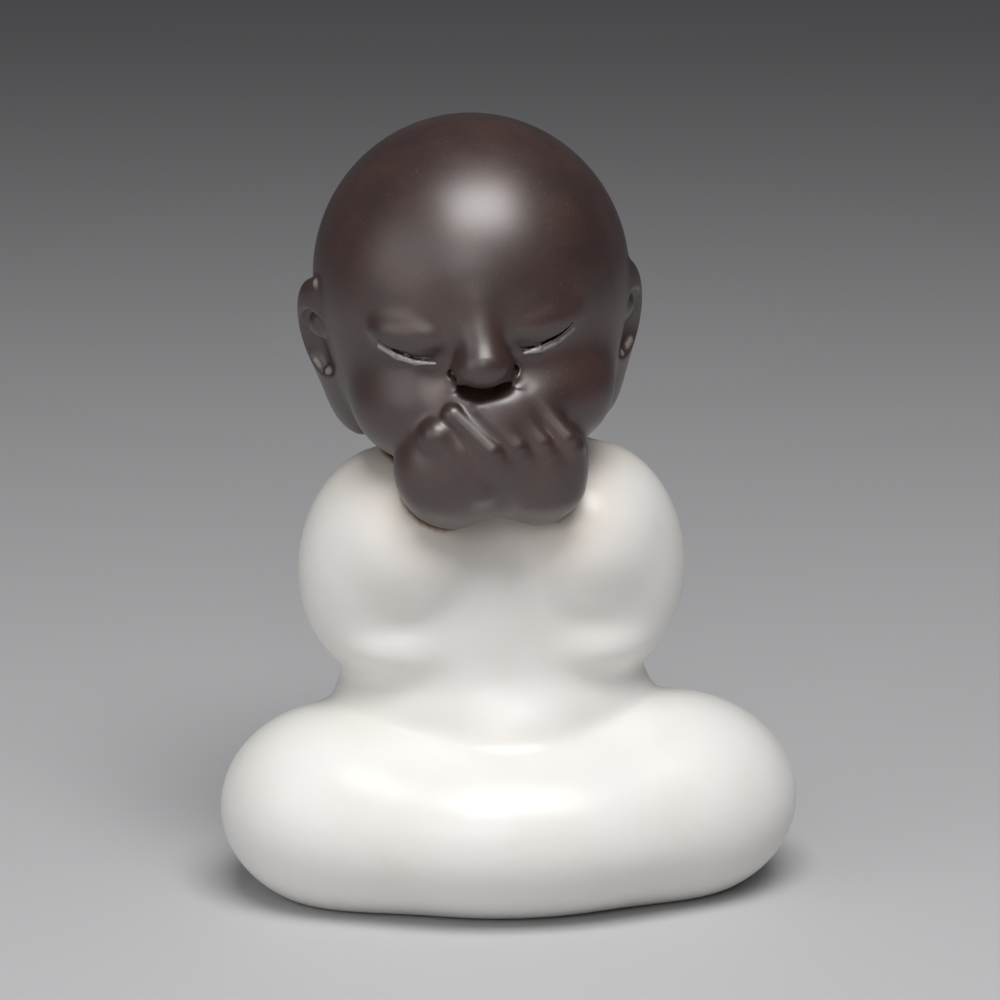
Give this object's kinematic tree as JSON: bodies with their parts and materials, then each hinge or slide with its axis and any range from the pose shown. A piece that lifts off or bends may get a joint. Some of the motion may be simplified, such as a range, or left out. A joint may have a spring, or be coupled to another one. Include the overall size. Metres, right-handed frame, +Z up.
{
  "type": "baby monk figurine",
  "caption": "Small seated baby monk of fired clay: bare dark head with both hands over the mouth, set in a smooth white glazed robe with crossed legs.",
  "frame": {"origin": "middle of the bounding box, on the surface that the figure stands on", "axes": "+Z up; the figure faces -Y, so +X is its left side and the viewer's right"},
  "size_m": [0.0482, 0.0314, 0.0645],
  "materials": {
    "bare_clay": "unglazed dark purple-brown stoneware, fine sandy grain, burnished to a soft sheen",
    "white_glaze": "opaque warm white satin glaze"
  },
  "bodies": {
    "root": {"head_and_hands": "bare_clay", "robe": "white_glaze"}
  },
  "joints": []
}
